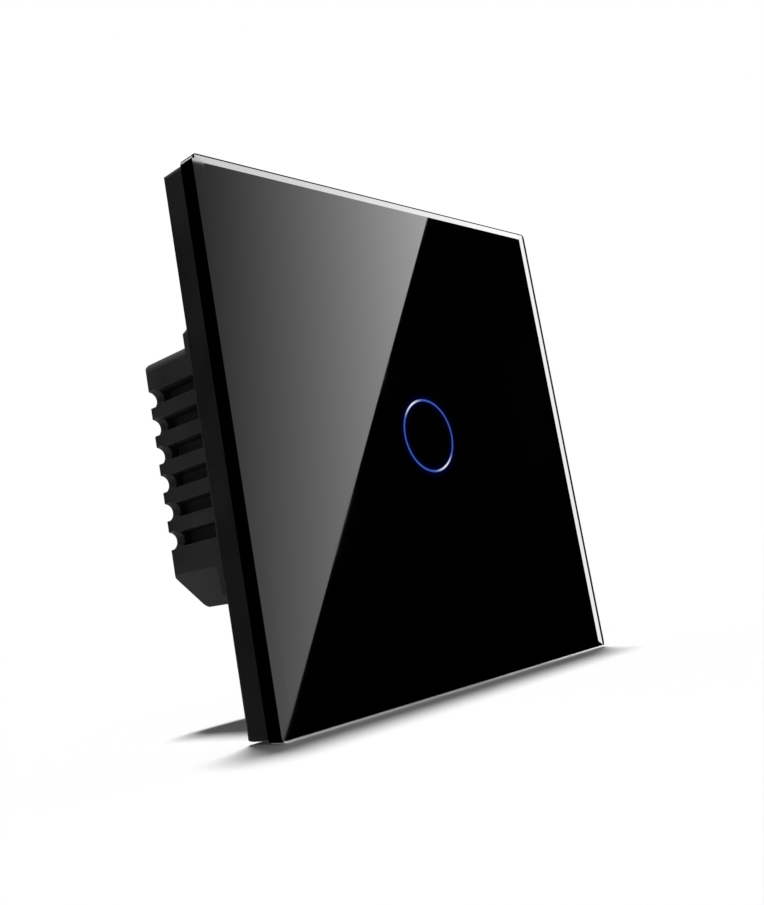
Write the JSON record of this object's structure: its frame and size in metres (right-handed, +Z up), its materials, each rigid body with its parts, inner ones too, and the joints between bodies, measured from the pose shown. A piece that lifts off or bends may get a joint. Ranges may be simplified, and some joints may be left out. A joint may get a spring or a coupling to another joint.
{
  "type": "touch light switch",
  "caption": "Flush wall touch light switch: black square glass panel with a lit ring, pull-off frame, steel mounting plate and a ribbed rear housing with a relay and screw terminals.",
  "frame": {"origin": "centre of the mounting plate, on the wall's surface", "axes": "+X to the right along the wall, +Y into the wall, +Z up"},
  "size_m": [0.08, 0.0392, 0.08],
  "materials": {
    "glass": "polished black backed glass",
    "ring_light": "translucent blue, lit from behind",
    "adhesive": "matt foam tape",
    "frame_plastic": "satin moulded",
    "housing_plastic": "fine moulded grain",
    "plate_steel": "galvanised",
    "screw_steel": "bright zinc plated",
    "clear_guide": "milky translucent",
    "foam": "conductive foam",
    "led": "clear resin",
    "board": "green solder mask",
    "chip_resin": "moulded resin",
    "sheet_film": "amber insulating film",
    "connector_plastic": "satin moulded",
    "pin_metal": "plated",
    "relay_plastic": "satin moulded",
    "magnet_iron": "nickel plated",
    "bobbin_plastic": "natural nylon",
    "copper": "enamelled copper",
    "contact_metal": "copper alloy",
    "film_resin": "dipped resin",
    "can_sleeve": "sleeved can",
    "varistor_resin": "dipped resin",
    "fuse_ceramic": "glazed ceramic",
    "ferrite": "sintered ferrite",
    "busbar_metal": "stamped",
    "clamp_steel": "zinc plated",
    "terminal_steel": "yellow zinc plated"
  },
  "bodies": {
    "module": {"mounting_plate": "plate_steel", "plate_screws": "screw_steel", "touch_cover": "frame_plastic", "light_guide": "clear_guide", "touch_pad": "foam", "indicator_leds": "led", "touch_board": "board", "touch_chip": "chip_resin", "insulation_sheet": "sheet_film", "board_socket": "connector_plastic", "board_header": "connector_plastic", "header_pins": "pin_metal", "front_housing": "housing_plastic", "rear_housing": "housing_plastic", "housing_screws": "screw_steel", "power_board": "board", "relay_base": "relay_plastic", "relay_yoke": "magnet_iron", "relay_core": "magnet_iron", "relay_bobbin": "bobbin_plastic", "relay_winding": "copper", "relay_fixed_contact": "contact_metal", "relay_cover": "relay_plastic", "film_capacitor": "film_resin", "filter_capacitor": "can_sleeve", "varistor": "varistor_resin", "fuse": "fuse_ceramic", "bridge_rectifier": "chip_resin", "choke": "ferrite", "power_chip": "chip_resin", "live_busbar": "busbar_metal", "load_busbar": "busbar_metal"},
    "panel": {"glass_panel": "glass", "ring_window": "ring_light", "panel_adhesive": "adhesive", "panel_frame": "frame_plastic"},
    "armature": {"relay_armature": "magnet_iron", "relay_contact_spring": "contact_metal"},
    "live_clamp_body": {"live_clamp": "clamp_steel"},
    "load_clamp_body": {"load_clamp": "clamp_steel"},
    "live_screw_body": {"live_screw": "terminal_steel"},
    "load_screw_body": {"load_screw": "terminal_steel"}
  },
  "joints": [
    {"name": "panel_pull", "type": "slide", "parent": "module", "child": "panel", "axis": [0, -1, 0], "range_m": [0, 0.012]},
    {"name": "armature_tip", "type": "hinge", "parent": "module", "child": "armature", "pos_m": [0.0014, 0.021, 0.007], "axis": [0, 0, 1], "range_deg": [0, 3.5], "stiffness_Nm_per_rad": 0.02},
    {"name": "live_turn", "type": "hinge", "parent": "module", "child": "live_screw_body", "pos_m": [-0.0075, 0.0289, -0.0153], "axis": [0, -1, 0], "range_deg": [0, 1080]},
    {"name": "live_rise", "type": "slide", "parent": "module", "child": "live_clamp_body", "axis": [0, 1, 0], "range_m": [0, 0.0018]},
    {"name": "load_turn", "type": "hinge", "parent": "module", "child": "load_screw_body", "pos_m": [0.0075, 0.0289, -0.0153], "axis": [0, -1, 0], "range_deg": [0, 1080]},
    {"name": "load_rise", "type": "slide", "parent": "module", "child": "load_clamp_body", "axis": [0, 1, 0], "range_m": [0, 0.0018]}
  ],
  "couplings": [
    {"joint": "live_turn", "follows": "live_rise", "rad_per_m": 10472},
    {"joint": "load_turn", "follows": "load_rise", "rad_per_m": 10472}
  ]
}
